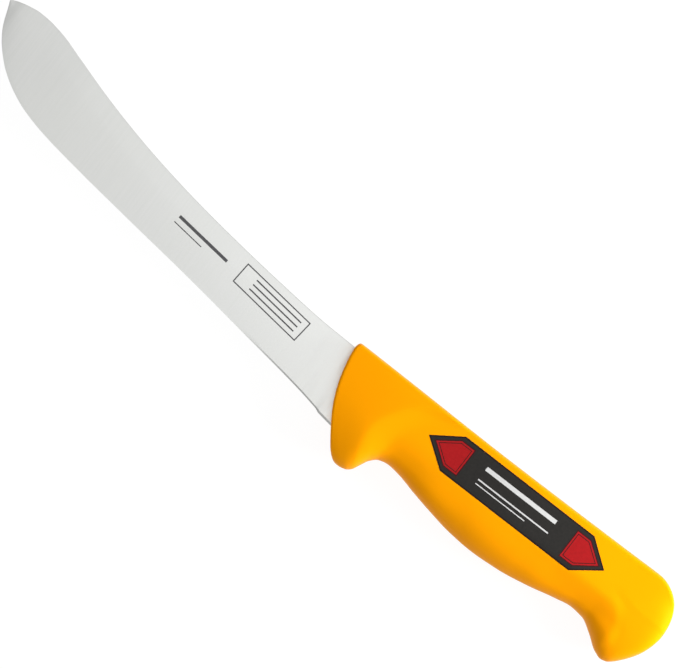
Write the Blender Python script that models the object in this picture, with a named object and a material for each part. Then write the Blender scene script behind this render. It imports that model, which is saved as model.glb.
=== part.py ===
# Butcher knife, 180 mm blade, moulded handle.
# The knife lies on its right side, the labelled side up.  +X runs from the blade's tip to the
# butt, parallel to the handle's straight back; +Y from the cutting edge to the spine; +Z up.
# The origin is under the middle of the whole knife, on the surface that it lies on.
# All lengths below are in millimetres; MM turns them into metres.

import math

import bpy
import bmesh

MM = 0.001

# ---------------------------------------------------------------- driving dimensions
TIP_X = -152.6            # blade tip
BUTT_X = 152.8            # rearmost point of the handle
HANDLE_THICK = 22.0       # across the two flat side lands
HALF = HANDLE_THICK / 2.0
MID_Z = HALF              # middle plane of the blade

STOCK = 2.0               # blade steel
SHOULDER_THICK = 0.52     # steel left at the top of the cutting bevel, near the handle
NOSE_THICK = 0.16         # the same over the front half of the blade
BEVEL_HEIGHT = 0.55       # height of the cutting bevel on the blade's flank
EDGE_THICK = 0.08         # rounded off cutting edge
HEEL_THICK, HEEL_RIM, HEEL_BEVEL = 0.64, 0.06, 0.77    # the same three at the blunt last of the heel
FLAT_UNDER_SPINE = 6.0    # parallel strip left under the spine
HEEL_STEP_X = 13.4        # the grinding stops here; the last of the heel is left blunt

BACK_Y = 7.8              # the handle's straight back
LAND_TOP = 6.3            # flat side land, upper edge
CENTRE = -0.1             # moves the knife's middle onto the origin
FRONT_X = 11.1            # foremost point of the handle
FRONT_FILLET = 0.9
CORNER = 1.7              # rounded corner where the front meets the back
FRONT_HALF = 9.3          # half thickness of the handle at its front face
SHEAR_END = 46.0          # from here back the stations stand square to X
BUTT_START = 138.7        # from here back the handle domes over
WAIST_DROP = 1.2          # how far the flank falls behind the guard's crest
NECK_DROP = 1.65          # depth of the little finger's recess on the flank
HOOK_ROLL, HOOK_LAND = 0.006, -1.5   # how the hook's flank rolls over, and from where

GAP = 0.3                 # left between touching pieces

CORE_HALF = 4.6           # half thickness of the inner core
FOIL_THICK = 0.35         # label foil, its outer face flush with the flank
POCKET_DEPTH = FOIL_THICK + GAP


# ---------------------------------------------------------------- small maths
def lerp(a, b, t):
    return a + (b - a) * t


def smooth(a, b, x):
    t = min(max((x - a) / (b - a), 0.0), 1.0)
    return t * t * (3.0 - 2.0 * t)


def through(points, x):
    """A smooth curve y(x) through the given points, without overshoot."""
    n = len(points)
    if x <= points[0][0]:
        return points[0][1]
    if x >= points[-1][0]:
        return points[-1][1]
    slopes = [(points[i + 1][1] - points[i][1]) / (points[i + 1][0] - points[i][0]) for i in range(n - 1)]

    def tangent(i):
        if i == 0:
            return slopes[0]
        if i == n - 1:
            return slopes[-1]
        a, b = slopes[i - 1], slopes[i]
        if a * b <= 0.0:
            return 0.0
        ha, hb = points[i][0] - points[i - 1][0], points[i + 1][0] - points[i][0]
        wa, wb = 2.0 * hb + ha, hb + 2.0 * ha
        return (wa + wb) / (wa / a + wb / b)

    i = 0
    while points[i + 1][0] < x:
        i += 1
    h = points[i + 1][0] - points[i][0]
    t = (x - points[i][0]) / h
    m0, m1 = tangent(i) * h, tangent(i + 1) * h
    return ((2 * t ** 3 - 3 * t ** 2 + 1) * points[i][1] + (t ** 3 - 2 * t ** 2 + t) * m0
            + (-2 * t ** 3 + 3 * t ** 2) * points[i + 1][1] + (t ** 3 - t ** 2) * m1)


# ---------------------------------------------------------------- blade outline
# Cutting edge: a long, nearly straight run that sweeps up round a broad, upturned nose.
EDGE = [(TIP_X, 26.7), (-152.4, 26.2), (-152.0, 25.3), (-151.0, 22.8), (-150.1, 20.4), (-149.0, 18.0),
        (-147.5, 15.5), (-145.5, 12.9), (-142.3, 9.6), (-139.0, 6.8), (-132.3, 2.8), (-125.6, 0.1), (-115.5, -2.3), (-102.0, -4.3),
        (-75.0, -7.5), (-48.0, -10.5), (-21.0, -14.0), (6.0, -17.68), (HEEL_STEP_X, -19.05)]
# Spine: dips in the middle and rises to the nose.
SPINE = [(TIP_X, 26.7), (-152.4, 27.0), (-151.6, 27.35), (-148.8, 28.4), (-145.4, 29.15), (-142.0, 29.6),
         (-138.7, 29.5), (-132.0, 28.55), (-122.0, 25.65), (-108.4, 21.55), (-95.0, 18.08), (-81.5, 15.15),
         (-61.0, 11.7), (-41.0, 9.2), (-20.8, 7.2), (0.0, 5.7), (9.6, 5.5)]


# Blunt heel, shoulders and tapered tang, all straight lines.
TANG_LOW = [(HEEL_STEP_X, -19.05), (14.9, -19.75), (21.0, -20.6), (24.0, -20.7), (26.5, -12.6), (30.0, -11.5),
            (116.0, -9.4), (118.0, -7.8)]
TANG_HIGH = [(9.6, 5.5), (15.5, 5.5), (18.0, 2.6), (30.0, 2.0), (116.0, -0.4), (118.0, -2.0)]


def straight(points, x):
    for (xa, ya), (xb, yb) in zip(points[:-1], points[1:]):
        if x <= xb:
            return lerp(ya, yb, (x - xa) / (xb - xa))
    return points[-1][1]


def edge_y(x):
    return through(EDGE, x) if x <= HEEL_STEP_X else straight(TANG_LOW, x)


def spine_y(x):
    return through(SPINE, x) if x <= 9.6 else straight(TANG_HIGH, x)


def steel(x):
    """Thickness of the stock: even, drawn down a little over the nose."""
    return lerp(1.1, STOCK, smooth(TIP_X, -112.0, x))


def bevel_height(x, height):
    return min(lerp(BEVEL_HEIGHT, HEEL_BEVEL, smooth(13.2, 14.6, x)), height * 0.3)


def flank(x, y, lo, hi):
    """Half thickness of the blade at a point of its outline."""
    full = steel(x) / 2.0
    if x > 24.5:
        return full
    keen = lerp(NOSE_THICK, SHOULDER_THICK, smooth(-32.0, 6.0, x)) / 2.0
    if x < -115.0:
        # the nose is drawn down to the tip, the more the steeper its edge climbs
        climb = (edge_y(x + 0.3) - edge_y(x - 0.3)) / 0.6
        thin = keen + (0.065 + 0.3 * smooth(-146.0, -115.0, x)) * (hi - lo) / math.hypot(1.0, climb)
        full = (full ** -4.0 + thin ** -4.0) ** -0.25
    blunt = smooth(13.2, 14.6, x)
    deep = smooth(21.5, 24.0, x)
    shoulder = min(lerp(lerp(keen, HEEL_THICK / 2.0, blunt), full, deep), full)
    rim = min(lerp(lerp(EDGE_THICK / 2.0, HEEL_RIM / 2.0, blunt), full, deep), shoulder)
    height = hi - lo
    bevel = bevel_height(x, height)
    top = max(hi - min(FLAT_UNDER_SPINE, height * 0.3), lo + bevel + 0.2)
    d = y - lo
    if d <= bevel:
        return lerp(rim, shoulder, d / bevel)
    # the grind keeps its line past the small step at the heel
    base = bevel + (lo if x <= HEEL_STEP_X else max(lo, -19.05 - 0.17 * (x - HEEL_STEP_X)))
    t = min(max((y - base) / (top - base), 0.0), 1.0)
    # a flat grind that runs out softly into the parallel strip
    return shoulder + (full - shoulder) * (1.0 - (1.0 - t) ** 1.35)


def blade_mesh(name):
    xs = [TIP_X, -152.4, -152.0, -151.5, -150.8, -149.6, -147.8, -145.5, -143.0, -140.0, -136.5, -132.5,
          -128.0, -123.0, -117.0, -110.0, -102.0, -93.0, -84.0, -74.0, -64.0, -54.0, -44.0, -34.0, -24.0,
          -14.0, -5.0, 3.0, 9.6, 13.0, HEEL_STEP_X, 14.0, 14.5, 14.9, 15.6, 16.7, 18.0, 21.0, 21.5, 22.7, 24.0, 24.8, 25.7,
          26.5, 30.0, 60.0, 90.0, 116.0, 117.2, 118.0]
    bm = bmesh.new()
    rings = []
    for x in xs:
        lo, hi = edge_y(x), spine_y(x)
        if hi - lo < 0.4:
            lo, hi = lo - 0.25, hi + 0.15
        h = hi - lo
        bevel = bevel_height(x, h)
        top = max(hi - min(FLAT_UNDER_SPINE, h * 0.3), lo + bevel + 0.2)
        ys = [lo, lo + bevel, lerp(lo + bevel, top, 0.3), lerp(lo + bevel, top, 0.6),
              lerp(lo + bevel, top, 0.85), top, hi - min(0.25, h * 0.1), hi]
        zs = [flank(x, y, lo, hi) for y in ys]
        zs[-1] = max(zs[-2] - 0.22, 0.05)
        ring = [bm.verts.new((x * MM, y * MM, (MID_Z + z) * MM)) for y, z in zip(ys, zs)]
        ring += [bm.verts.new((x * MM, y * MM, (MID_Z - z) * MM)) for y, z in reversed(list(zip(ys, zs)))]
        rings.append(ring)
    return finish_loft(bm, rings, name)


def finish_loft(bm, rings, name):
    n = len(rings[0])
    for a, b in zip(rings[:-1], rings[1:]):
        for j in range(n):
            k = (j + 1) % n
            bm.faces.new((a[j], a[k], b[k], b[j]))
    # the ends are closed by strips between the two sides of their ring
    for ring, flip in ((rings[0], False), (rings[-1], True)):
        half = n // 2
        for j in range(half - 1):
            quad = (ring[j], ring[n - 1 - j], ring[n - 2 - j], ring[j + 1])
            bm.faces.new(tuple(reversed(quad)) if flip else quad)
    bmesh.ops.recalc_face_normals(bm, faces=bm.faces)
    mesh = bpy.data.meshes.new(name)
    bm.to_mesh(mesh)
    bm.free()
    return mesh


# ---------------------------------------------------------------- handle outline
# The curved front face that the blade comes out of, as x over y.
FRONT = [(-31.0, 31.0), (-29.2, 28.4), (-27.1, 26.0), (-24.5, 23.9), (-20.4, 20.95), (-16.2, 18.2), (-11.7, 15.85),
         (-6.8, 13.9), (-1.6, 12.45), (4.0, 11.4), (8.1, FRONT_X)]
# Belly: guard, finger recess, swell, little-finger recess, butt hook.
BELLY = [(10.0, -28.4), (26.0, -29.3), (31.2, -29.7), (33.6, -29.25), (35.6, -27.8), (37.0, -25.0), (38.4, -22.2),
         (41.0, -19.8), (44.5, -19.05), (49.0, -19.5), (57.0, -21.3), (65.5, -23.0), (75.0, -24.5),
         (84.0, -25.05), (95.0, -24.4), (106.0, -22.6), (116.5, -20.15), (122.5, -19.1), (127.5, -19.6),
         (132.8, -22.45), (138.2, -26.1), (141.2, -27.05)]
BACK = [(10.0, BACK_Y), (24.0, 7.7), (40.0, 7.55), (60.0, 7.3), (74.0, 7.2), (90.0, 7.28), (112.0, 7.46), (130.6, 7.68),
        (138.7, BACK_Y)]
# Butt, over the share 0..1 of its dome.
BUTT_TOP = [(0.0, BACK_Y), (0.08, 7.75), (0.2, 7.2), (0.33, 6.0), (0.507, 3.55), (0.67, 0.25), (0.82, -3.6), (0.92, -6.6),
            (1.0, -8.4)]
BUTT_BOTTOM = [(0.0, -26.3), (0.1, -27.0), (0.2, -26.56), (0.285, -25.3), (0.36, -23.75), (0.51, -20.45),
               (0.66, -16.95), (0.8, -13.2), (0.91, -10.3), (1.0, -8.4)]
# The crest where the front stops swelling out and the waist begins, as x over y.
CREST = [(-30.0, 33.4), (-24.0, 33.0), (-20.0, 32.4), (-16.0, 31.8), (-12.0, 31.6), (-9.0, 32.2), (-6.0, 33.4),
         (-2.0, 35.8), (0.0, 37.4), (2.0, 39.6), (4.0, 43.2), (6.0, 48.6), (8.5, 57.0)]
# Where the butt hook stands out from the little finger's recess, as x over y, and the recess ahead of it.
HOOK = [(-30.0, 140.6), (-24.0, 140.4), (-20.0, 142.4), (-16.0, 142.2), (-12.0, 140.0), (-9.0, 137.9), (-6.0, 133.0)]
NECK = [(0.0, 0.0), (0.8, 0.12), (6.0, 0.78), (12.0, 1.0), (20.0, 0.92), (40.0, 0.45), (64.0, 0.0)]
# Lower end of the flat side land.
LAND = [(12.0, -8.5), (26.0, -9.5), (34.0, -7.0), (44.0, -3.8), (52.0, -5.2), (62.0, -7.0), (80.0, -6.6),
        (100.0, -5.6), (110.0, -5.0), (118.0, -3.2), (126.0, -1.6), (136.0, -1.5), (153.3, -1.5)]


def front_shift(y):
    return through(FRONT, y) - FRONT_X


def side_factor(x, y):
    """Share of the half thickness left after the guard's taper and the shallow recesses of the flank."""
    crest, start = through(CREST, y), through(FRONT, y)
    behind = x - crest
    slope = (HALF - FRONT_HALF) / (crest - start)
    drop = min(slope * (math.sqrt(behind * behind + 5.0) - behind) / 2.0, HALF - FRONT_HALF)
    if behind > 0.0:
        t = min(behind / 11.0, 1.0) ** 0.78
        drop += WAIST_DROP * smooth(0.0, 1.0, t) * (1.0 - smooth(50.0, 92.0, x)) * (1.0 - 0.85 * smooth(13.0, 21.0, -y))
    drop += NECK_DROP * smooth(8.0, 15.5, -y) * (1.0 - 0.2 * smooth(15.5, 20.0, -y)) * through(NECK, through(HOOK, y) - 0.3 - x)
    return 1.0 - drop / HALF


def rounding(v, x, y):
    """Share of the half thickness left at v, from the land (0) to the belly edge (1)."""
    fore = 1.0 - smooth(26.0, 40.0, x)
    edge = through(HOOK, y)
    hook = smooth(edge - 5.5, edge, x)
    p = 2.3 - 0.25 * fore + 1.2 * smooth(108.0, 124.0, x)
    q = 2.3 - 0.6 * smooth(58.0, 78.0, x) * (1.0 - smooth(98.0, 112.0, x))
    share = max(1.0 - v ** p, 0.0) ** (1.0 / q)
    if hook > 0.0:
        roll = HOOK_ROLL * max(HOOK_LAND - y, 0.0) ** 2 / HALF
        share = lerp(share, max(1.0 - v ** 6.0, 0.0) ** (1.0 / 3.0) * (1.0 - roll), hook)
    return share


def dome(x, y):
    """The rounding of the butt end, fuller near the back than at the hook."""
    t = min(max((x - BUTT_START) / (BUTT_X - BUTT_START), 0.0), 0.99999)
    e = lerp(3.7, 6.5, smooth(-2.0, 9.0, -y))
    return (1.0 - t ** e) ** (1.0 / e)


def limits(s, yt, yb):
    """Where the flat side land ends, above and below, at the station s."""
    rise = min(BACK_Y - LAND_TOP, 0.3 * (yt - yb))
    low = max(through(LAND, s), yb + 0.35 * (yt - yb))
    return yt - rise, rise, min(low, yt - 0.45 * (yt - yb))


def grip_half(x, y):
    """Half thickness of the handle behind the guard."""
    yt, yb = through(BACK, x), through(BELLY, x)
    top_land, rise, low_land = limits(x, yt, yb)
    if y > top_land:
        share = max(1.0 - ((y - top_land) / rise) ** 3.0, 0.0) ** (1.0 / 7.0)
    elif y < low_land:
        share = rounding((low_land - y) / (low_land - yb), x, y)
    else:
        share = 1.0
    return HALF * side_factor(x, y) * share


def section(s, xf, yt, yb, inset, upper, land, lower):
    """One ring of the handle at the station s; xf(y) gives its x."""
    yt, yb = yt - inset, yb + inset
    top_land, rise, low_land = limits(s, yt, yb)
    pts = []
    for k in range(upper + 1):
        v = math.sin(math.pi / 2.0 * (1.0 - k / upper)) ** 0.7
        pts.append((top_land + rise * v, max(1.0 - v ** 3.0, 0.0) ** (1.0 / 7.0) if k else 0.0))
    for k in range(1, land):
        pts.append((lerp(top_land, low_land, k / land), 1.0))
    for k in range(lower + 1):
        v = math.sin(math.pi / 2.0 * k / lower) ** 0.85
        y = low_land - (low_land - yb) * v
        pts.append((y, rounding(v, xf(y), y) if k < lower else 0.0))
    out = []
    for y, z in pts:
        x = xf(y)
        full = max(HALF * dome(x, y) * side_factor(x, y) - inset, 0.05)
        out.append((x, y, z * full))
    return out


def grip_stations(front_steps, fore, mid, butt):
    """(station, xf, top, bottom, inset) of every ring from the front face to the butt."""
    out = []

    def sheared(start, share, inset):
        def xf(y):
            return start + share * front_shift(y)
        lo = -24.0
        for _ in range(40):
            lo = 0.5 * lo + 0.5 * through(BELLY, xf(lo))
        turn = max(FRONT_X + CORNER - start, 0.0)
        return start, xf, through(BACK, start) - CORNER + math.sqrt(CORNER ** 2 - turn ** 2), lo, inset

    for k in range(front_steps + 1):
        a = math.pi / 2.0 * k / front_steps
        out.append(sheared(FRONT_X + FRONT_FILLET * (1.0 - math.cos(a)), 1.0, FRONT_FILLET * (1.0 - math.sin(a))))
    first = FRONT_X + FRONT_FILLET
    for k in range(1, fore + 1):
        start = lerp(first, SHEAR_END, (k / fore) ** 1.15)
        out.append(sheared(start, 1.0 - (start - first) / (SHEAR_END - first), 0.0))
    for k in range(1, mid + 1):
        start = lerp(SHEAR_END, BUTT_START, k / mid)
        out.append((start, (lambda y, s=start: s), through(BACK, start), through(BELLY, start), 0.0))
    for k in range(1, butt + 1):
        a = k / butt * 0.985
        s = math.sin(a * math.pi / 2.0)
        x = BUTT_START + (BUTT_X - BUTT_START) * s
        out.append((x, (lambda y, s=x: s), through(BUTT_TOP, a), through(BUTT_BOTTOM, a), 0.0))
    return out


def grip_mesh(name):
    bm = bmesh.new()
    rings = []
    for s, xf, yt, yb, inset in grip_stations(3, 18, 34, 10):
        side = section(s, xf, yt, yb, inset, 5, 4, 10)
        ring = [bm.verts.new((x * MM, y * MM, (MID_Z + z) * MM)) for x, y, z in side]
        ring += [bm.verts.new((x * MM, y * MM, (MID_Z - z) * MM)) for x, y, z in reversed(side[1:-1])]
        rings.append(ring)
    n = len(rings[0])
    for a, b in zip(rings[:-1], rings[1:]):
        for j in range(n):
            k = (j + 1) % n
            bm.faces.new((a[j], b[j], b[k], a[k]))
    for ring in (rings[0], rings[-1]):
        half_n = n // 2
        bm.faces.new((ring[0], ring[1], ring[n - 1]))
        for j in range(1, half_n - 1):
            bm.faces.new((ring[j], ring[j + 1], ring[n - j - 1], ring[n - j]))
        bm.faces.new((ring[half_n - 1], ring[half_n], ring[half_n + 1]))
    bmesh.ops.recalc_face_normals(bm, faces=bm.faces)
    mesh = bpy.data.meshes.new(name)
    bm.to_mesh(mesh)
    bm.free()
    return mesh


# ---------------------------------------------------------------- plates cut from outlines
def plate(name, outline, z0, z1, holes=()):
    """A straight-sided plate, drawn in the XY plane, with round holes (x, y, r)."""
    bm = bmesh.new()
    low = [bm.verts.new((x * MM, y * MM, z0 * MM)) for x, y in outline]
    high = [bm.verts.new((x * MM, y * MM, z1 * MM)) for x, y in outline]
    n = len(outline)
    bm.faces.new(low)
    bm.faces.new(high)
    for j in range(n):
        k = (j + 1) % n
        bm.faces.new((low[j], low[k], high[k], high[j]))
    bmesh.ops.recalc_face_normals(bm, faces=bm.faces)
    mesh = bpy.data.meshes.new(name)
    bm.to_mesh(mesh)
    bm.free()
    return mesh


def rounded_bar(x0, x1, lo, hi, r, steps=4):
    """Outline of a bar between two lines lo(x) and hi(x), with round corners."""
    corners = [(x0, lo(x0), 180, 270), (x1, lo(x1), 270, 360), (x1, hi(x1), 0, 90), (x0, hi(x0), 90, 180)]
    pts = []
    for x, y, a0, a1 in corners:
        cx = x + r if x == x0 else x - r
        cy = y + r if a0 in (180, 270) else y - r
        for k in range(steps + 1):
            a = math.radians(lerp(a0, a1, k / steps))
            pts.append((cx + r * math.cos(a), cy + r * math.sin(a)))
    return pts


def round_bar_z(name, x, y, r, z0, z1, sides=20):
    return plate(name, [(x + r * math.cos(2 * math.pi * k / sides), y + r * math.sin(2 * math.pi * k / sides))
                        for k in range(sides)], z0, z1)


# ---------------------------------------------------------------- scene helpers
def add(name, mesh, material=None):
    ob = bpy.data.objects.new(name, mesh)
    bpy.context.scene.collection.objects.link(ob)
    ob.location.x = CENTRE * MM
    if material:
        mesh.materials.append(material)
    return ob


def guide(name, mesh):
    ob = add(name, mesh)
    ob.hide_render = True
    ob.display_type = "WIRE"
    return ob


def cut(ob, cutter):
    mod = ob.modifiers.new("cut_" + cutter.name, "BOOLEAN")
    mod.operation = "DIFFERENCE"
    mod.solver = "EXACT"
    mod.object = cutter


def material(name, colour, rough, metal, sub=0.0):
    mat = bpy.data.materials.new(name)
    mat.use_nodes = True
    node = mat.node_tree.nodes["Principled BSDF"]
    node.inputs["Base Color"].default_value = (*colour, 1.0)
    node.inputs["Roughness"].default_value = rough
    node.inputs["Metallic"].default_value = metal
    return mat


def clear():
    for ob in list(bpy.data.objects):
        bpy.data.objects.remove(ob, do_unlink=True)


# ---------------------------------------------------------------- the tang, core and label outlines
HOLES = [(46.0, -5.4, 3.0), (96.0, -5.0, 3.0)]   # lock holes through the tang


def core_low(x):
    return lerp(-13.6, -11.2, (x - 31.0) / 91.0)


def core_high(x):
    return lerp(3.9, 1.4, (x - 31.0) / 91.0)


def blade_zone(grow):
    """Outline of the heel and tang inside the handle, grown by a clearance."""
    low = [(8.0, -19.7 - grow), (13.0, -20.3 - grow), (24.2 + grow, -20.75 - grow), (26.7 + grow, -12.7 - grow),
           (30.0, -11.5 - grow), (116.0, -9.4 - grow), (118.0 + grow, -7.8 - grow)]
    high = [(118.0 + grow, -2.0 + grow), (116.0, -0.4 + grow), (30.0, 2.0 + grow), (18.0 + grow, 2.6 + grow),
            (15.6 + grow, 5.5 + grow), (8.0, 5.55 + grow)]
    return low + high


LABEL = [(49.0, -2.6), (59.3, 4.5), (113.8, 4.5), (123.4, -2.6), (113.8, -9.87), (59.3, -9.87)]


def grown(outline, d):
    """The outline moved out by d all round (the outline is convex and clockwise)."""
    n = len(outline)
    out = []
    for i in range(n):
        p, a, b = outline[i], outline[i - 1], outline[(i + 1) % n]

        def normal(u, v):
            dx, dy = v[0] - u[0], v[1] - u[1]
            ln = math.hypot(dx, dy)
            return -dy / ln, dx / ln
        n1, n2 = normal(a, p), normal(p, b)
        s = 1.0 + n1[0] * n2[0] + n1[1] * n2[1]
        out.append((p[0] + d * (n1[0] + n2[0]) / s, p[1] + d * (n1[1] + n2[1]) / s))
    return out


def sheet(name, outline, low, high, rows=9, cols=22):
    """A closed sheet over a convex outline, between the heights low(x, y) and high(x, y)."""
    corners = sorted(set(round(y, 6) for _, y in outline))
    ys = [corners[0]]
    for a, b in zip(corners[:-1], corners[1:]):
        n = max(1, int(round((b - a) / (corners[-1] - corners[0]) * rows)))
        ys += [lerp(a, b, k / n) for k in range(1, n + 1)]
    bm = bmesh.new()
    grids = []
    for height in (low, high):
        grid = []
        for y in ys:
            inner = min(max(y, corners[0] + 1e-4), corners[-1] - 1e-4)
            xs = []
            for (xa, ya), (xb, yb) in zip(outline, outline[1:] + outline[:1]):
                if min(ya, yb) <= inner <= max(ya, yb) and abs(yb - ya) > 1e-9:
                    xs.append(lerp(xa, xb, (inner - ya) / (yb - ya)))
            row = []
            for k in range(cols + 1):
                x = lerp(min(xs), max(xs), k / cols)
                row.append(bm.verts.new((x * MM, y * MM, height(x, y) * MM)))
            grid.append(row)
        grids.append(grid)
    under, over = grids
    last, end = len(ys) - 1, cols
    for i in range(last):
        for k in range(cols):
            bm.faces.new((under[i][k], under[i + 1][k], under[i + 1][k + 1], under[i][k + 1]))
            bm.faces.new((over[i][k], over[i][k + 1], over[i + 1][k + 1], over[i + 1][k]))
        for k in (0, end):
            bm.faces.new((under[i][k], under[i + 1][k], over[i + 1][k], over[i][k]))
    for k in range(cols):
        for i in (0, last):
            bm.faces.new((under[i][k], under[i][k + 1], over[i][k + 1], over[i][k]))
    bmesh.ops.recalc_face_normals(bm, faces=bm.faces)
    mesh = bpy.data.meshes.new(name)
    bm.to_mesh(mesh)
    bm.free()
    return mesh


def main():
    clear()
    steel_mat = material("satin_stainless_steel", (0.78, 0.78, 0.76), 0.32, 1.0)
    yellow = material("yellow_polypropylene", (0.95, 0.42, 0.005), 0.38, 0.0)
    core_mat = material("natural_polypropylene", (0.72, 0.70, 0.64), 0.5, 0.0)
    foil = material("black_label_foil", (0.028, 0.026, 0.025), 0.4, 0.0)

    # blade and tang, one stamped piece
    blade = add("blade", blade_mesh("blade"), steel_mat)
    for i, (x, y, r) in enumerate(HOLES):
        cut(blade, guide("lock_hole_%d" % (i + 1), round_bar_z("lock_hole_%d" % (i + 1), x, y, r, MID_Z - 4, MID_Z + 4)))

    # inner core, moulded round the tang and through its lock holes
    core = add("handle_core", plate("handle_core", rounded_bar(31.0, 122.0, core_low, core_high, 2.2),
                                    MID_Z - CORE_HALF, MID_Z + CORE_HALF), core_mat)
    slot = plate("core_slot", blade_zone(GAP), MID_Z - STOCK / 2 - GAP, MID_Z + STOCK / 2 + GAP)
    slot_ob = guide("core_slot", slot)
    for i, (x, y, r) in enumerate(HOLES):
        cut(slot_ob, guide("peg_%d" % (i + 1), round_bar_z("peg_%d" % (i + 1), x, y, r - GAP, MID_Z - 4, MID_Z + 4)))
    cut(core, slot_ob)

    # outer grip, moulded over the core
    grip = add("handle_grip", grip_mesh("handle_grip"), yellow)
    cavity = guide("core_cavity", plate("core_cavity", rounded_bar(31.0 - GAP, 122.0 + GAP, lambda x: core_low(x) - GAP,
                                        lambda x: core_high(x) + GAP, 2.2 + GAP),
                                        MID_Z - CORE_HALF - GAP, MID_Z + CORE_HALF + GAP))
    mouth = guide("blade_mouth", plate("blade_mouth", blade_zone(GAP), MID_Z - STOCK / 2 - GAP, MID_Z + STOCK / 2 + GAP))
    pocket = guide("label_pocket", sheet("label_pocket", grown(LABEL, GAP),
                                         lambda x, y: MID_Z + grip_half(x, y) - POCKET_DEPTH, lambda x, y: MID_Z + HALF + 4.0))
    cut(grip, mouth)
    cut(grip, cavity)
    cut(grip, pocket)

    # label foil in its seat on the left side
    add("label_foil", sheet("label_foil", LABEL, lambda x, y: MID_Z + grip_half(x, y) - FOIL_THICK,
                            lambda x, y: MID_Z + grip_half(x, y)), foil)

    for ob in (blade, grip, core):
        ob.data.shade_smooth()
        ob.data.set_sharp_from_angle(angle=math.radians(35.0))


main()
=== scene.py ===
import math

import bpy
import bmesh
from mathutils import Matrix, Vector


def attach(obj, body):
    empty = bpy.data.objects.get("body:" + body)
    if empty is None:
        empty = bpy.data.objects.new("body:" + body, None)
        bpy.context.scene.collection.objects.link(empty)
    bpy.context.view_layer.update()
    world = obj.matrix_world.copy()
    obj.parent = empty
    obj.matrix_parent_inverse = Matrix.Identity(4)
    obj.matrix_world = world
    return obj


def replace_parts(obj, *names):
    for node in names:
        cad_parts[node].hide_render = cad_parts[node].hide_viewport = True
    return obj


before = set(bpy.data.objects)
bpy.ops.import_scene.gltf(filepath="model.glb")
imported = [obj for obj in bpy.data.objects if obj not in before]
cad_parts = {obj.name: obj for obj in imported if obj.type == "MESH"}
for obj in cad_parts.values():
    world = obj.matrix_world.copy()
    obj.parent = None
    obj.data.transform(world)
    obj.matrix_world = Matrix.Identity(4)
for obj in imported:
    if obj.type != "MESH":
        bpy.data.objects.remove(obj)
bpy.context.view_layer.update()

MM = 0.001

# ---------------------------------------------------------------- dimensions, as in the CAD, in millimetres
TIP_X, BUTT_X = -152.6, 152.8
HALF = 11.0
MID_Z = 11.0
STOCK = 2.0
SHOULDER_THICK, NOSE_THICK = 0.52, 0.16
BEVEL_HEIGHT = 0.55
EDGE_THICK = 0.08
HEEL_THICK, HEEL_RIM, HEEL_BEVEL = 0.64, 0.06, 0.77
FLAT_UNDER_SPINE = 6.0
HEEL_STEP_X = 13.4
BACK_Y, LAND_TOP = 7.8, 6.3
CENTRE = -0.1
FRONT_X = 11.1
FRONT_FILLET = 0.9
CORNER = 1.7            # the rounded corner where the front meets the back
FRONT_HALF = 9.3
SHEAR_END = 46.0
BUTT_START = 138.7


# ---------------------------------------------------------------- small maths
def lerp(a, b, t):
    return a + (b - a) * t


def smooth(a, b, x):
    t = min(max((x - a) / (b - a), 0.0), 1.0)
    return t * t * (3.0 - 2.0 * t)


def make_curve(points):
    """A smooth curve y(x) through the points, without overshoot, with its tangents worked out once."""
    n = len(points)
    slopes = [(points[i + 1][1] - points[i][1]) / (points[i + 1][0] - points[i][0]) for i in range(n - 1)]
    tan = []
    for i in range(n):
        if i == 0:
            tan.append(slopes[0])
        elif i == n - 1:
            tan.append(slopes[-1])
        else:
            a, b = slopes[i - 1], slopes[i]
            if a * b <= 0.0:
                tan.append(0.0)
            else:
                ha, hb = points[i][0] - points[i - 1][0], points[i + 1][0] - points[i][0]
                wa, wb = 2.0 * hb + ha, hb + 2.0 * ha
                tan.append((wa + wb) / (wa / a + wb / b))

    def curve(x):
        if x <= points[0][0]:
            return points[0][1]
        if x >= points[-1][0]:
            return points[-1][1]
        i = 0
        while points[i + 1][0] < x:
            i += 1
        h = points[i + 1][0] - points[i][0]
        t = (x - points[i][0]) / h
        m0, m1 = tan[i] * h, tan[i + 1] * h
        return ((2 * t ** 3 - 3 * t ** 2 + 1) * points[i][1] + (t ** 3 - 2 * t ** 2 + t) * m0
                + (-2 * t ** 3 + 3 * t ** 2) * points[i + 1][1] + (t ** 3 - t ** 2) * m1)
    return curve


# ---------------------------------------------------------------- outlines, as in the CAD
edge_curve = make_curve([(TIP_X, 26.7), (-152.4, 26.2), (-152.0, 25.3), (-151.0, 22.8), (-150.1, 20.4),
                         (-149.0, 18.0), (-147.5, 15.5), (-145.5, 12.9), (-142.3, 9.6), (-139.0, 6.8),
                         (-132.3, 2.8), (-125.6, 0.1), (-115.5, -2.3), (-102.0, -4.3), (-75.0, -7.5),
                         (-48.0, -10.5), (-21.0, -14.0), (6.0, -17.68), (HEEL_STEP_X, -19.05)])
spine_curve = make_curve([(TIP_X, 26.7), (-152.4, 27.0), (-151.6, 27.35), (-148.8, 28.4), (-145.4, 29.15),
                          (-142.0, 29.6), (-138.7, 29.5), (-132.0, 28.55), (-122.0, 25.65), (-108.4, 21.55),
                          (-95.0, 18.08), (-81.5, 15.15), (-61.0, 11.7), (-41.0, 9.2), (-20.8, 7.2),
                          (0.0, 5.7), (9.6, 5.5)])
TANG_LOW = [(HEEL_STEP_X, -19.05), (14.9, -19.75), (21.0, -20.6), (24.0, -20.7), (26.5, -12.6), (30.0, -11.5)]
TANG_HIGH = [(9.6, 5.5), (15.5, 5.5), (18.0, 2.6), (30.0, 2.0)]
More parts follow.
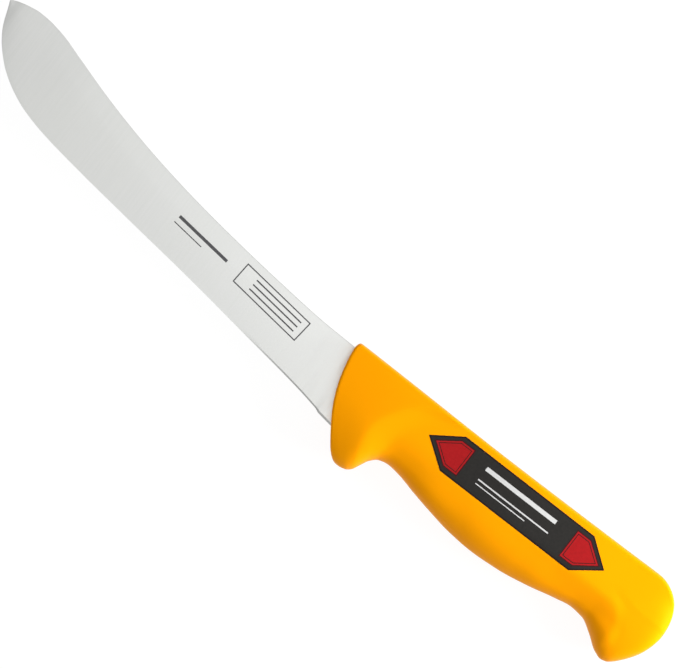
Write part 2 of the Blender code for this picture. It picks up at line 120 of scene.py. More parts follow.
front_curve = make_curve([(-31.0, 31.0), (-29.2, 28.4), (-27.1, 26.0), (-24.5, 23.9), (-20.4, 20.95),
                          (-16.2, 18.2), (-11.7, 15.85), (-6.8, 13.9), (-1.6, 12.45), (4.0, 11.4), (8.1, FRONT_X)])
belly_curve = make_curve([(10.0, -28.4), (26.0, -29.3), (31.2, -29.7), (33.6, -29.25), (35.6, -27.8),
                          (37.0, -25.0), (38.4, -22.2), (41.0, -19.8), (44.5, -19.05), (49.0, -19.5),
                          (57.0, -21.3), (65.5, -23.0), (75.0, -24.5), (84.0, -25.05), (95.0, -24.4),
                          (106.0, -22.6), (116.5, -20.15), (122.5, -19.1), (127.5, -19.6), (132.8, -22.45),
                          (138.2, -26.1), (141.2, -27.05)])
back_curve = make_curve([(10.0, BACK_Y), (24.0, 7.7), (40.0, 7.55), (60.0, 7.3), (74.0, 7.2), (90.0, 7.28),
                         (112.0, 7.46), (130.6, 7.68), (138.7, BACK_Y)])
butt_top_curve = make_curve([(0.0, BACK_Y), (0.08, 7.75), (0.2, 7.2), (0.33, 6.0), (0.507, 3.55), (0.67, 0.25),
                             (0.82, -3.6), (0.92, -6.6), (1.0, -8.4)])
butt_low_curve = make_curve([(0.0, -26.3), (0.1, -27.0), (0.2, -26.56), (0.285, -25.3), (0.36, -23.75), (0.51, -20.45),
                             (0.66, -16.95), (0.8, -13.2), (0.91, -10.3), (1.0, -8.4)])
crest_curve = make_curve([(-30.0, 33.4), (-24.0, 33.0), (-20.0, 32.4), (-16.0, 31.8), (-12.0, 31.6), (-9.0, 32.2),
                          (-6.0, 33.4), (-2.0, 35.8), (0.0, 37.4), (2.0, 39.6), (4.0, 43.2), (6.0, 48.6), (8.5, 57.0)])
hook_curve = make_curve([(-30.0, 140.6), (-24.0, 140.4), (-20.0, 142.4), (-16.0, 142.2), (-12.0, 140.0), (-9.0, 137.9),
                         (-6.0, 133.0)])
neck_curve = make_curve([(0.0, 0.0), (0.8, 0.12), (6.0, 0.78), (12.0, 1.0), (20.0, 0.92), (40.0, 0.45), (64.0, 0.0)])
land_curve = make_curve([(12.0, -8.5), (26.0, -9.5), (34.0, -7.0), (44.0, -3.8), (52.0, -5.2), (62.0, -7.0),
                         (80.0, -6.6), (100.0, -5.6), (110.0, -5.0), (118.0, -3.2), (126.0, -1.6), (136.0, -1.5),
                         (153.3, -1.5)])


def straight(points, x):
    for (xa, ya), (xb, yb) in zip(points[:-1], points[1:]):
        if x <= xb:
            return lerp(ya, yb, (x - xa) / (xb - xa))
    return points[-1][1]


def edge_y(x):
    return edge_curve(x) if x <= HEEL_STEP_X else straight(TANG_LOW, x)


def spine_y(x):
    return spine_curve(x) if x <= 9.6 else straight(TANG_HIGH, x)


def steel(x):
    return lerp(1.1, STOCK, smooth(TIP_X, -112.0, x))


def bevel_height(x, height):
    return min(lerp(BEVEL_HEIGHT, HEEL_BEVEL, smooth(13.2, 14.6, x)), height * 0.3)


def flank(x, y, lo, hi):
    """Half thickness of the blade at a point of its outline."""
    full = steel(x) / 2.0
    if x > 24.5:
        return full
    keen = lerp(NOSE_THICK, SHOULDER_THICK, smooth(-32.0, 6.0, x)) / 2.0
    climb = (edge_y(x + 0.3) - edge_y(x - 0.3)) / 0.6
    thin = keen + (0.065 + 0.3 * smooth(-146.0, -115.0, x)) * (hi - lo) / math.hypot(1.0, climb)
    full = full if x > -115.0 else (full ** -4.0 + thin ** -4.0) ** -0.25
    blunt = smooth(13.2, 14.6, x)
    deep = smooth(21.5, 24.0, x)
    shoulder = min(lerp(lerp(keen, HEEL_THICK / 2.0, blunt), full, deep), full)
    rim = lerp(lerp(EDGE_THICK / 2.0, HEEL_RIM / 2.0, blunt), full, deep)
    height = hi - lo
    bevel = bevel_height(x, height)
    top = max(hi - min(FLAT_UNDER_SPINE, height * 0.3), lo + bevel + 0.2)
    d = y - lo
    if d <= bevel:
        return lerp(rim, shoulder, d / bevel)
    base = bevel + (lo if x <= HEEL_STEP_X else max(lo, -19.05 - 0.17 * (x - HEEL_STEP_X)))
    t = min(max((y - base) / (top - base), 0.0), 1.0)
    return shoulder + (full - shoulder) * (1.0 - (1.0 - t) ** 1.35)


# ---------------------------------------------------------------- mesh helpers
def make_object(name, verts, faces, smooth_angle=None, recalc=True):
    """verts in millimetres; they are moved by CENTRE, as in the CAD."""
    mesh = bpy.data.meshes.new(name)
    mesh.from_pydata([((x + CENTRE) * MM, y * MM, z * MM) for x, y, z in verts], [], faces)
    if recalc:
        bm = bmesh.new()
        bm.from_mesh(mesh)
        bmesh.ops.recalc_face_normals(bm, faces=bm.faces)
        bm.to_mesh(mesh)
        bm.free()
    mesh.update()
    if smooth_angle is not None:
        mesh.shade_smooth()
        if smooth_angle < 180:
            mesh.set_sharp_from_angle(angle=math.radians(smooth_angle))
    ob = bpy.data.objects.new(name, mesh)
    bpy.context.scene.collection.objects.link(ob)
    return ob


# ---------------------------------------------------------------- the blade
def blade_object():
    xs = []
    x = TIP_X
    while x < 24.0:
        xs.append(x)
        near_tip = x - TIP_X
        if near_tip < 2.0:
            x += 0.12
        elif near_tip < 10.0:
            x += 0.35
        elif 12.5 < x < 16.5:
            x += 0.12
        else:
            x += 1.0
    xs += [24.0]
    verts, faces, rings = [], [], []
    grind = 14
    for x in xs:
        lo, hi = edge_y(x), spine_y(x)
        if hi - lo < 0.16:
            mid = (lo + hi) / 2.0
            lo, hi = mid - 0.08, mid + 0.08
        h = hi - lo
        bevel = bevel_height(x, h)
        top = max(hi - min(FLAT_UNDER_SPINE, h * 0.3), lo + bevel + 0.2)
        top = min(top, lo + h * 0.9)
        ys = [lo, lerp(lo, lo + bevel, 0.5), lo + bevel]
        ys += [lerp(lo + bevel, top, k / grind) for k in range(1, grind + 1)]
        ys += [lerp(top, hi - min(0.3, h * 0.04), 0.5), hi - min(0.3, h * 0.04), hi - min(0.1, h * 0.015), hi]
        zs = [flank(x, y, lo, hi) for y in ys]
        full = zs[-3]
        zs[-2] = max(full - 0.09, full * 0.7)
        zs[-1] = max(full - 0.28, full * 0.4)
        base = len(verts)
        verts += [(x, y, MID_Z + z) for y, z in zip(ys, zs)]
        verts += [(x, y, MID_Z - z) for y, z in reversed(list(zip(ys, zs)))]
        rings.append((base, len(ys)))
    n = 2 * rings[0][1]
    for (a, _), (b, _) in zip(rings[:-1], rings[1:]):
        for j in range(n):
            k = (j + 1) % n
            faces.append((a + j, a + k, b + k, b + j))
    for base in (rings[0][0], rings[-1][0]):
        half = n // 2
        for j in range(half - 1):
            faces.append((base + j, base + j + 1, base + n - 2 - j, base + n - 1 - j))
    return make_object("blade_ground", verts, faces, smooth_angle=7.5)


# ---------------------------------------------------------------- the grip
def front_shift(y):
    return front_curve(y) - FRONT_X


WAIST_DROP = 1.2      # how far the flank falls behind the guard's crest
HOOK_ROLL, HOOK_LAND = 0.006, -1.5
NECK_DROP = 1.65       # the little finger's recess ahead of the butt hook


def side_factor(x, y):
    """What is left of the half thickness after the guard's taper and the shallow recesses of the flank."""
    crest, start = crest_curve(y), front_curve(y)
    behind = x - crest
    slope = (HALF - FRONT_HALF) / (crest - start)
    drop = min(slope * (math.sqrt(behind * behind + 5.0) - behind) / 2.0, HALF - FRONT_HALF)
    if behind > 0.0:
        t = min(behind / 11.0, 1.0) ** 0.78
        drop += WAIST_DROP * smooth(0.0, 1.0, t) * (1.0 - smooth(50.0, 92.0, x)) * (1.0 - 0.85 * smooth(13.0, 21.0, -y))
    drop += NECK_DROP * smooth(8.0, 15.5, -y) * (1.0 - 0.2 * smooth(15.5, 20.0, -y)) * neck_curve(hook_curve(y) - 0.3 - x)
    return 1.0 - drop / HALF


def rounding(v, x, y):
    """Share of the half thickness that is left at v, from the land (0) to the belly edge (1)."""
    fore = 1.0 - smooth(26.0, 40.0, x)
    edge = hook_curve(y)
    hook = smooth(edge - 5.5, edge, x)
    p = 2.3 - 0.25 * fore + 1.2 * smooth(108.0, 124.0, x)
    q = 2.3 - 0.6 * smooth(58.0, 78.0, x) * (1.0 - smooth(98.0, 112.0, x))
    share = max(1.0 - v ** p, 0.0) ** (1.0 / q)
    if hook > 0.0:
        roll = HOOK_ROLL * max(HOOK_LAND - y, 0.0) ** 2 / HALF
        share = lerp(share, max(1.0 - v ** 6.0, 0.0) ** (1.0 / 3.0) * (1.0 - roll), hook)
    return share


def dome(x, y):
    """The rounding of the butt end, fuller near the back than at the hook."""
    t = min(max((x - BUTT_START) / (BUTT_X - BUTT_START), 0.0), 0.99999)
    e = lerp(3.7, 6.5, smooth(-2.0, 9.0, -y))
    return (1.0 - t ** e) ** (1.0 / e)


SEAM = 0.035     # height of the faint parting line


def limits(s, yt, yb):
    """Where the flank's land ends, above and below, at the station s."""
    rise = min(BACK_Y - LAND_TOP, 0.3 * (yt - yb))
    low = max(land_curve(s), yb + 0.35 * (yt - yb))
    return yt - rise, rise, min(low, yt - 0.45 * (yt - yb))


def grip_half(x, y):
    """Half thickness of the grip behind the guard, where its stations stand square to the handle."""
    yt, yb = back_curve(x), belly_curve(x)
    top_land, rise, low_land = limits(x, yt, yb)
    if y > top_land:
        share = max(1.0 - ((y - top_land) / rise) ** 3.0, 0.0) ** (1.0 / 7.0)
    elif y < low_land:
        share = rounding((low_land - y) / (low_land - yb), x, y)
    else:
        share = 1.0
    return HALF * side_factor(x, y) * share


def section(s, xf, yt, yb, half, inset, upper, land, lower):
    yt, yb = yt - inset, yb + inset
    top_land, rise, low_land = limits(s, yt, yb)
    pts = []
    for k in range(upper + 1):
        v = math.sin(math.pi / 2.0 * (1.0 - k / upper)) ** 0.7
        pts.append((top_land + rise * v, max(1.0 - v ** 3.0, 0.0) ** (1.0 / 7.0) if k else 0.0))
    for k in range(1, land):
        pts.append((lerp(top_land, low_land, k / land), 1.0))
    for k in range(lower + 1):
        v = math.sin(math.pi / 2.0 * k / lower) ** 0.85
        y = low_land - (low_land - yb) * v
        pts.append((y, rounding(v, xf(y), y) if k < lower else 0.0))
    # two more points beside each end of the section, for the parting line
    side = []
    for i, (y, z) in enumerate(pts):
        x = xf(y)
        full = max(half * dome(x, y) * side_factor(x, y) - inset, 0.05)
        side.append((x, y, z * full))
    w = min(0.16, side[1][2] * 0.4)
    first, last = side[0], side[-1]
    edge_top = (first[0], lerp(first[1], side[1][1], (w / max(side[1][2], 1e-6)) ** 2), w)
    w2 = min(0.16, side[-2][2] * 0.4)
    edge_low = (last[0], lerp(last[1], side[-2][1], (w2 / max(side[-2][2], 1e-6)) ** 2), w2)
    h = SEAM if inset < 0.01 else 0.0
    side[0] = (first[0], first[1] + h, 0.0)
    side[-1] = (last[0], last[1] - h, 0.0)
    return [side[0], edge_top] + side[1:-1] + [edge_low, side[-1]]


def grip_rings():
    out = []

    def sheared(start, share, inset):
        def xf(y):
            return start + share * front_shift(y)
        lo = -24.0
        for _ in range(40):
            lo = 0.5 * lo + 0.5 * belly_curve(xf(lo))
        turn = max(FRONT_X + CORNER - start, 0.0)
        return start, xf, back_curve(start) - CORNER + math.sqrt(CORNER ** 2 - turn ** 2), lo, HALF, inset

    steps = 10
    for k in range(steps + 1):
        a = math.pi / 2.0 * k / steps
        out.append(sheared(FRONT_X + FRONT_FILLET * (1.0 - math.cos(a)), 1.0, FRONT_FILLET * (1.0 - math.sin(a))))
    first = FRONT_X + FRONT_FILLET
    fore = 64
    for k in range(1, fore + 1):
        start = lerp(first, SHEAR_END, k / fore)
        out.append(sheared(start, 1.0 - (start - first) / (SHEAR_END - first), 0.0))
    mid = 110
    for k in range(1, mid + 1):
        start = lerp(SHEAR_END, BUTT_START, k / mid)
        out.append((start, (lambda y, s=start: s), back_curve(start), belly_curve(start), HALF, 0.0))
    butt = 44
    for k in range(1, butt + 1):
        a = k / butt * 0.997
        s = math.sin(a * math.pi / 2.0)
        x = BUTT_START + (BUTT_X - BUTT_START) * s
        out.append((x, (lambda y, s=x: s), butt_top_curve(a), butt_low_curve(a), HALF, 0.0))
    return out


def grip_object():
    verts, faces, rings = [], [], []
    for s, xf, yt, yb, half, inset in grip_rings():
        side = section(s, xf, yt, yb, half, inset, 14, 12, 34)
        base = len(verts)
        verts += [(x, y, MID_Z + z) for x, y, z in side]
        verts += [(x, y, MID_Z - z) for x, y, z in reversed(side[1:-1])]
        rings.append(base)
    n = 2 * len(side) - 2
    m = len(side)
    for a, b in zip(rings[:-1], rings[1:]):
        for j in range(n):
            k = (j + 1) % n
            faces.append((a + j, b + j, b + k, a + k))
    # front face: strips across the thickness, from one side of the first ring to the other
    across = 14
    base = rings[0]
    rows = []
    for j in range(m):
        left = verts[base + j]
        if j in (0, m - 1):
            rows.append([base + j] * (across + 1))
            continue
        row = [base + j]
        for k in range(1, across):
            z = lerp(left[2], 2.0 * MID_Z - left[2], k / across)
            verts.append((left[0], left[1], z))
            row.append(len(verts) - 1)
        row.append(base + n - j)
        rows.append(row)
    for a, b in zip(rows[:-1], rows[1:]):
        for k in range(across):
            quad = [a[k], b[k], b[k + 1], a[k + 1]]
            quad = [v for i, v in enumerate(quad) if v not in quad[:i]]
            if len(quad) > 2:
                faces.append(tuple(quad))
    # the very end of the butt
    base = rings[-1]
    faces.append((base, base + 1, base + n - 1))
    for j in range(1, m - 2):
        faces.append((base + j, base + j + 1, base + n - j - 1, base + n - j))
    faces.append((base + m - 2, base + m - 1, base + m))
    return make_object("grip_moulding", verts, faces, smooth_angle=60)


# ---------------------------------------------------------------- printed fields and lines
def prism(outline, z0, z1, bevel=0.0):
    """Closed plate over a convex outline, its top edge drawn in by bevel. Returns verts and faces."""
    n = len(outline)
    top = grown(outline, -bevel) if bevel else outline
    verts = [(x, y, z0) for x, y in outline]
    verts += [(x, y, z1 - bevel * 0.6) for x, y in outline] + [(x, y, z1) for x, y in top]
    faces = [tuple(range(n))[::-1], tuple(range(2 * n, 3 * n))]
    for j in range(n):
        k = (j + 1) % n
        faces.append((j, k, n + k, n + j))
        faces.append((n + j, n + k, 2 * n + k, 2 * n + j))
    return verts, faces


def grown(outline, d):
    n = len(outline)
    area = sum(outline[i - 1][0] * outline[i][1] - outline[i][0] * outline[i - 1][1] for i in range(n))
    if area > 0:
        d = -d
    out = []
    for i in range(n):
        p, a, b = outline[i], outline[i - 1], outline[(i + 1) % n]

        def normal(u, v):
            dx, dy = v[0] - u[0], v[1] - u[1]
            ln = math.hypot(dx, dy)
            return -dy / ln, dx / ln
        n1, n2 = normal(a, p), normal(p, b)
        s = 1.0 + n1[0] * n2[0] + n1[1] * n2[1]
        out.append((p[0] + d * (n1[0] + n2[0]) / s, p[1] + d * (n1[1] + n2[1]) / s))
    return out


def band(outline, width, z0, z1):
    """A closed frame of even width that runs round inside an outline."""
    inner = grown(outline, -width)
    n = len(outline)
    verts = [(x, y, z) for z in (z0, z1) for ring in (outline, inner) for x, y in ring]
    faces = []
    for j in range(n):
        k = (j + 1) % n
        faces.append((j, k, n + k, n + j))
        faces.append((2 * n + j, 3 * n + j, 3 * n + k, 2 * n + k))
        faces.append((j, 2 * n + j, 2 * n + k, k))
        faces.append((n + j, n + k, 3 * n + k, 3 * n + j))
    return verts, faces


def join(parts):
    verts, faces = [], []
    for v, f in parts:
        base = len(verts)
        verts += v
        faces += [tuple(base + i for i in face) for face in f]
    return verts, faces


LABEL = [(49.0, -2.6), (59.3, 4.5), (113.8, 4.5), (123.4, -2.6), (113.8, -9.87), (59.3, -9.87)]


def crossing(outline, y):
    """The two x at which the line y crosses a convex outline."""
    xs = []
    n = len(outline)
    for i in range(n):
        (xa, ya), (xb, yb) = outline[i], outline[(i + 1) % n]
        if min(ya, yb) <= y <= max(ya, yb) and abs(yb - ya) > 1e-9:
            xs.append(lerp(xa, xb, (y - ya) / (yb - ya)))
    return min(xs), max(xs)


def patch(outline, height, depth, lift, rows=18, step=2.2):
    """A thin printed field over a convex outline, that follows the surface height(x, y)."""
    corners = sorted(set(round(y, 6) for _, y in outline))
    ys = [corners[0]]
    for a, b in zip(corners[:-1], corners[1:]):
        n = max(1, int(round((b - a) / (corners[-1] - corners[0]) * rows)))
        ys += [lerp(a, b, k / n) for k in range(1, n + 1)]
    wide = max(x for x, _ in outline) - min(x for x, _ in outline)
    cols = max(2, int(wide / step))
    verts, faces = [], []
    for top in (0, 1):
        for i, y in enumerate(ys):
            inner = min(max(y, corners[0] + 1e-4), corners[-1] - 1e-4)
            xa, xb = crossing(outline, inner)
            if xb - xa < 0.02:
                xa, xb = (xa + xb) / 2.0 - 0.01, (xa + xb) / 2.0 + 0.01
            for k in range(cols + 1):
                x = lerp(xa, xb, k / cols)
                z = height(x, y)
                verts.append((x, y, z + (lift if top else -depth)))
    n, m = len(ys), cols + 1
    for i in range(n - 1):
        for k in range(cols):
            a = i * m + k
            faces.append((a, a + m, a + m + 1, a + 1))
            b = n * m + a
            faces.append((b, b + 1, b + m + 1, b + m))
    for i in range(n - 1):
        for k in (0, cols):
            a, b = i * m + k, (i + 1) * m + k
            faces.append((a, n * m + a, n * m + b, b) if k else (a, b, n * m + b, n * m + a))
    for k in range(cols):
        a, b = k, k + 1
        faces.append((a, b, n * m + b, n * m + a))
        a, b = (n - 1) * m + k, (n - 1) * m + k + 1
        faces.append((a, n * m + a, n * m + b, b))
    return verts, faces


def lines(rows, height, depth, lift, step=0.5):
    """Thin printed lines that follow the surface height(x, y). Each row is (centre line points, width)."""
    verts, faces = [], []
    for pts, width in rows:
        closed = math.hypot(pts[0][0] - pts[-1][0], pts[0][1] - pts[-1][1]) < 1e-6
        corners = pts[:-1] if closed else pts
        n = len(corners)
        ring = []           # (x, y, offset direction) along the line
        for i in range(n if closed else n - 1):
            (xa, ya), (xb, yb) = corners[i], corners[(i + 1) % n]
            steps = max(1, int(math.hypot(xb - xa, yb - ya) / step))

            def corner(i):
                before, after = corners[i - 1], corners[(i + 1) % n]
                here = corners[i]
                if not closed and i == 0:
                    before = None
                if not closed and i == n - 1:
                    after = None
                normals = []
                for u, v in ((before, here), (here, after)):
                    if u is not None and v is not None:
                        ln = math.hypot(v[0] - u[0], v[1] - u[1])
                        normals.append((-(v[1] - u[1]) / ln, (v[0] - u[0]) / ln))
                if len(normals) == 1:
                    return normals[0]
                (ax, ay), (bx, by) = normals
                k = 1.0 + ax * bx + ay * by
                return (ax + bx) / k, (ay + by) / k
            na, nb = corner(i), corner((i + 1) % n)
            ln = math.hypot(xb - xa, yb - ya)
            mid = (-(yb - ya) / ln, (xb - xa) / ln)
            ring.append((xa, ya, na))
            ring += [(lerp(xa, xb, k / steps), lerp(ya, yb, k / steps), mid) for k in range(1, steps)]
            if not closed and i == n - 2:
                ring.append((xb, yb, nb))
        base = len(verts)
        for x, y, (nx, ny) in ring:
            for sign in (1.0, -1.0):
                px, py = x + sign * nx * width / 2.0, y + sign * ny * width / 2.0
                z = height(px, py)
                verts += [(px, py, z - depth), (px, py, z + lift)]
        count = len(ring)
        for i in range(count if closed else count - 1):
            a, b = base + 4 * i, base + 4 * ((i + 1) % count)
            faces += [(a + 1, b + 1, b + 3, a + 3), (a, a + 2, b + 2, b), (a, b, b + 1, a + 1), (a + 2, a + 3, b + 3, b + 2)]
        if not closed:
            a, b = base, base + 4 * (count - 1)
            faces += [(a, a + 1, a + 3, a + 2), (b, b + 2, b + 3, b + 1)]
    return verts, faces


def closed_line(outline, inset, width):
    pts = grown(outline, -(inset + width / 2.0))
    return (pts + [pts[0]], width)


def on_grip(x, y):
    return MID_Z + grip_half(x, y)


def label_objects():
    obs = {}
    v, f = patch(LABEL, on_grip, 0.25, 0.045, rows=22, step=1.6)
    obs["field"] = make_object("label_foil_field", v, f, smooth_angle=40)
    v, f = lines([closed_line(LABEL, -0.05, 0.5)], on_grip, 0.2, 0.06)
    obs["rim"] = make_object("label_rim", v, f, smooth_angle=40)
    # end fields: five-sided, pointing outwards like the label itself
    ends = []
    for sx, x0 in ((1.0, 51.4), (-1.0, 121.5)):
        ends.append([(x0, -2.6), (x0 + sx * 7.6, 2.9), (x0 + sx * 13.4, 2.9), (x0 + sx * 13.4, -8.1),
                     (x0 + sx * 7.6, -8.1)])
    v, f = join([patch(e, on_grip, 0.05, 0.062, rows=12, step=1.5) for e in ends])
    obs["red"] = make_object("label_end_fields", v, f, smooth_angle=40)
    rows = []
    for e in ends:
        rows.append(closed_line(e, 0.0, 0.40))
        rows.append(closed_line(e, 0.95, 0.26))
    v, f = lines(rows, on_grip, 0.02, 0.075)
    obs["lines"] = make_object("label_end_lines", v, f, smooth_angle=40)
    # plain rules between the end fields
    rules = [([(71.2, 0.25), (100.8, 0.25)], 1.5), ([(71.2, -4.3), (100.8, -4.3)], 0.5),
             ([(71.2, -5.9), (92.0, -5.9)], 0.35)]
    v, f = lines(rules, on_grip, 0.05, 0.07, step=2.0)
    obs["white"] = make_object("label_rules", v, f, smooth_angle=40)
    return obs


def on_blade(x, y):
    return MID_Z + flank(x, y, edge_y(x), spine_y(x))


def etched_marks():
    frame_box = [(-34.4, 5.5), (-5.6, 2.4), (-6.4, -5.3), (-34.9, -2.1), (-34.4, 5.5)]
    rows = [(frame_box, 0.42)]
    for k, (a, b) in enumerate(((0.2, 0.92), (0.2, 0.92), (0.2, 0.92))):
        v = (k + 1) / 4.0
        xa, ya = lerp(-34.4, -34.9, v), lerp(5.5, -2.1, v)
        xb, yb = lerp(-5.6, -6.4, v), lerp(2.4, -5.3, v)
        rows.append(([(lerp(xa, xb, a), lerp(ya, yb, a)), (lerp(xa, xb, b), lerp(ya, yb, b))], 0.5))
    rows.append(([(-62.6, 4.1), (-40.6, 1.8)], 1.1))
    rows.append(([(-63.0, 1.6), (-50.5, 0.3)], 0.36))
    v, f = lines(rows, on_blade, 0.05, 0.03)
    return make_object("blade_marks", v, f)


# ---------------------------------------------------------------- materials
def new_material(name):
    mat = bpy.data.materials.new(name)
    mat.use_nodes = True
    nt = mat.node_tree
    return mat, nt, nt.nodes["Principled BSDF"]


def node(nt, kind, **values):
    n = nt.nodes.new(kind)
    for key, value in values.items():
        if key in n.inputs:
            n.inputs[key].default_value = value
        else:
            setattr(n, key, value)
    return n


def srgb(r, g, b):
    def lin(c):
        c /= 255.0
        return c / 12.92 if c <= 0.04045 else ((c + 0.055) / 1.055) ** 2.4
    return lin(r), lin(g), lin(b), 1.0


def coords(nt, scale=(1, 1, 1), rot=(0, 0, 0)):
    tc = node(nt, "ShaderNodeTexCoord")
    mp = node(nt, "ShaderNodeMapping")
    mp.inputs["Scale"].default_value = scale
    mp.inputs["Rotation"].default_value = rot
    nt.links.new(tc.outputs["Object"], mp.inputs["Vector"])
    return mp.outputs["Vector"]


def noise(nt, vec, scale, detail=4.0, rough=0.55):
    n = node(nt, "ShaderNodeTexNoise")
    n.inputs["Scale"].default_value = scale
    n.inputs["Detail"].default_value = detail
    n.inputs["Roughness"].default_value = rough
    nt.links.new(vec, n.inputs["Vector"])
    return n.outputs["Fac"]


def remap(nt, src, a, b, c, d):
    n = node(nt, "ShaderNodeMapRange")
    n.inputs["From Min"].default_value = a
    n.inputs["From Max"].default_value = b
    n.inputs["To Min"].default_value = c
    n.inputs["To Max"].default_value = d
    nt.links.new(src, n.inputs["Value"])
    return n.outputs["Result"]


def mix_colour(nt, fac, a, b):
    n = node(nt, "ShaderNodeMix", data_type="RGBA")
    nt.links.new(fac, n.inputs["Factor"])
    for sock, val in ((n.inputs[6], a), (n.inputs[7], b)):
        if hasattr(val, "is_linked") or hasattr(val, "links"):
            nt.links.new(val, sock)
        else:
            sock.default_value = val
    return n.outputs[2]


def bump(nt, bsdf, src, strength, distance):
    n = node(nt, "ShaderNodeBump")
    n.inputs["Strength"].default_value = strength
    n.inputs["Distance"].default_value = distance
    nt.links.new(src, n.inputs["Height"])
    nt.links.new(n.outputs["Normal"], bsdf.inputs["Normal"])
    return n


def steel_material():
    mat, nt, b = new_material("satin_steel")
    b.inputs["Metallic"].default_value = 1.0
    lines = noise(nt, coords(nt, (1400.0, 60.0, 60.0), (0, 0, 0.1)), 1.0, 3.0)
    cloud = noise(nt, coords(nt, (1, 1, 1)), 22.0, 3.0)
    base = mix_colour(nt, remap(nt, lines, 0.3, 0.7, 0.0, 1.0), (0.80, 0.81, 0.79, 1), (0.84, 0.845, 0.83, 1))
    base = mix_colour(nt, remap(nt, cloud, 0.35, 0.65, 0.0, 0.5), base, (0.82, 0.83, 0.80, 1))
    nt.links.new(base, b.inputs["Base Color"])
    nt.links.new(remap(nt, lines, 0.3, 0.7, 0.30, 0.38), b.inputs["Roughness"])
    bump(nt, b, lines, 0.12, 0.00001)
    return mat


def grip_material():
    mat, nt, b = new_material("yellow_polypropylene")
    b.inputs["Specular Tint"].default_value = (1.0, 0.62, 0.05, 1.0)
    b.inputs["Specular IOR Level"].default_value = 0.06
    grain = noise(nt, coords(nt), 2600.0, 3.0, 0.6)
    cloud = noise(nt, coords(nt), 28.0, 3.0)
    base = mix_colour(nt, remap(nt, cloud, 0.35, 0.65, 0.0, 1.0), (0.92, 0.325, 0.0006, 1), (0.94, 0.335, 0.0009, 1))
    nt.links.new(base, b.inputs["Base Color"])
    nt.links.new(remap(nt, grain, 0.3, 0.7, 0.38, 0.5), b.inputs["Roughness"])
    bump(nt, b, grain, 0.25, 0.00002)
    return mat


def print_material(name, colour_a, colour_b, rough_a, rough_b, scale=900.0):
    mat, nt, b = new_material(name)
    grain = noise(nt, coords(nt), scale, 3.0)
    base = mix_colour(nt, remap(nt, grain, 0.35, 0.65, 0.0, 1.0), colour_a, colour_b)
    nt.links.new(base, b.inputs["Base Color"])
    nt.links.new(remap(nt, grain, 0.3, 0.7, rough_a, rough_b), b.inputs["Roughness"])
    bump(nt, b, grain, 0.1, 0.00001)
    return mat


# ---------------------------------------------------------------- build
def dress(ob, mat):
    ob.data.materials.clear()
    ob.data.materials.append(mat)
    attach(ob, "root")
    return ob


steel_mat = steel_material()
grip_mat = grip_material()
black = print_material("label_black", srgb(38, 36, 34), srgb(34, 33, 31), 0.42, 0.5)
rim_mat = print_material("label_rim_black", srgb(20, 14, 10), srgb(26, 19, 14), 0.4, 0.5)
red = print_material("label_red", srgb(160, 13, 18), srgb(152, 11, 16), 0.42, 0.5)
maroon = print_material("label_maroon", srgb(58, 12, 14), srgb(50, 12, 14), 0.42, 0.5)
white = print_material("label_white", srgb(200, 200, 199), srgb(194, 194, 193), 0.42, 0.5)
for m in (black, rim_mat, red, maroon, white):
    m.node_tree.nodes["Principled BSDF"].inputs["Specular IOR Level"].default_value = 0.15
etch = print_material("etched_grey", srgb(66, 66, 68), srgb(84, 84, 86), 0.55, 0.7, 1500.0)

blade = dress(blade_object(), steel_mat)
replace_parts(blade, "blade")
grip = dress(grip_object(), grip_mat)
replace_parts(grip, "handle_grip")
labels = label_objects()
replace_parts(dress(labels["field"], black), "label_foil")
dress(labels["rim"], rim_mat)
dress(labels["red"], red)
dress(labels["lines"], maroon)
dress(labels["white"], white)
dress(etched_marks(), etch)

# the inner core stays as the CAD made it, out of sight inside the grip
core_mat = print_material("natural_polypropylene", (0.70, 0.68, 0.62, 1), (0.73, 0.71, 0.65, 1), 0.45, 0.6)
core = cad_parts["handle_core"]
core.data.materials.clear()
core.data.materials.append(core_mat)

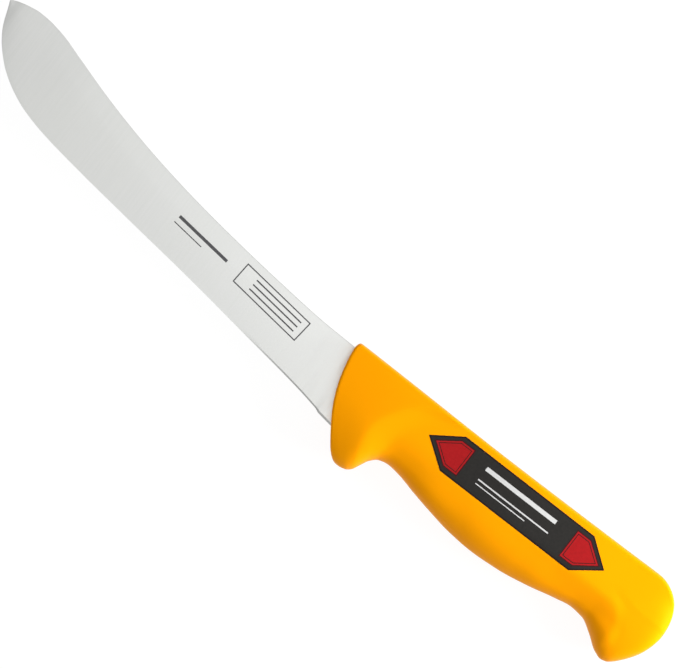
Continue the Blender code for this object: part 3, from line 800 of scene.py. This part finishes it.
# ---------------------------------------------------------------- floor, camera and light
floor_mesh = bpy.data.meshes.new("floor")
floor_mesh.from_pydata([(-3, -3, 0), (3, -3, 0), (3, 3, 0), (-3, 3, 0)], [], [(0, 1, 2, 3)])
floor = bpy.data.objects.new("floor", floor_mesh)
bpy.context.scene.collection.objects.link(floor)
floor.location.z = -0.0002
floor_mat, nt, b = new_material("pale_floor")
b.inputs["Base Color"].default_value = (0.10, 0.10, 0.10, 1)
b.inputs["Emission Color"].default_value = (1.0, 1.0, 1.0, 1)
b.inputs["Emission Strength"].default_value = 0.93
b.inputs["Roughness"].default_value = 0.9
b.inputs["Specular IOR Level"].default_value = 0.1
floor_mesh.materials.append(floor_mat)

scene = bpy.context.scene
scene.view_settings.view_transform = "Standard"
scene.view_settings.look = "None"

TILT = math.radians(37.8)       # the knife runs down to the right in the picture
DIST = 2.5
DOME, DOME_SLOPE = 0.54, 0.6
WIDTH = 0.2296                  # what the picture's width covers at the blade's height
cam_data = bpy.data.cameras.new("camera")
cam = bpy.data.objects.new("camera", cam_data)
scene.collection.objects.link(cam)
cam.location = (0.00453, 0.00569, MID_Z * MM + DIST)
cam.rotation_euler = (0.0, 0.0, TILT)
cam_data.sensor_width = 36.0
cam_data.lens = 36.0 * DIST / WIDTH
cam_data.clip_end = 20.0
scene.camera = cam

world = bpy.data.worlds.new("studio")
world.use_nodes = True
wt = world.node_tree
# a soft dome, brighter on the side of the key light
where = node(wt, "ShaderNodeTexCoord")
toward = node(wt, "ShaderNodeVectorMath", operation="DOT_PRODUCT")
toward.inputs[1].default_value = (0.84, 0.54, 0.0)
wt.links.new(where.outputs["Generated"], toward.inputs[0])
level = remap(wt, toward.outputs["Value"], -1.0, 1.0, DOME * (1.0 - DOME_SLOPE), DOME * (1.0 + DOME_SLOPE))
wt.links.new(level, wt.nodes["Background"].inputs["Strength"])
wt.nodes["Background"].inputs["Color"].default_value = (1, 1, 1, 1)
scene.world = world


def softbox(name, at, size, watts, aim=(0.0, 0.0, 0.01)):
    data = bpy.data.lights.new(name, "AREA")
    data.shape = "RECTANGLE"
    data.size, data.size_y = size
    data.energy = watts
    ob = bpy.data.objects.new(name, data)
    scene.collection.objects.link(ob)
    ob.location = at
    ob.rotation_euler = (Vector(aim) - Vector(at)).to_track_quat("-Z", "Y").to_euler()
    return ob


softbox("fill_box", (-0.12, -0.08, 1.3), (1.0, 1.0), 0.85, aim=(-0.12, -0.08, 0.0))
softbox("top_box", (0.26, -0.05, 0.8), (0.62, 0.8), 0.62, aim=(0.26, -0.05, 0.0))
softbox("key_box", (0.41, 0.15, 0.20), (0.26, 0.22), 3.0, aim=(0.05, 0.0, 0.01))
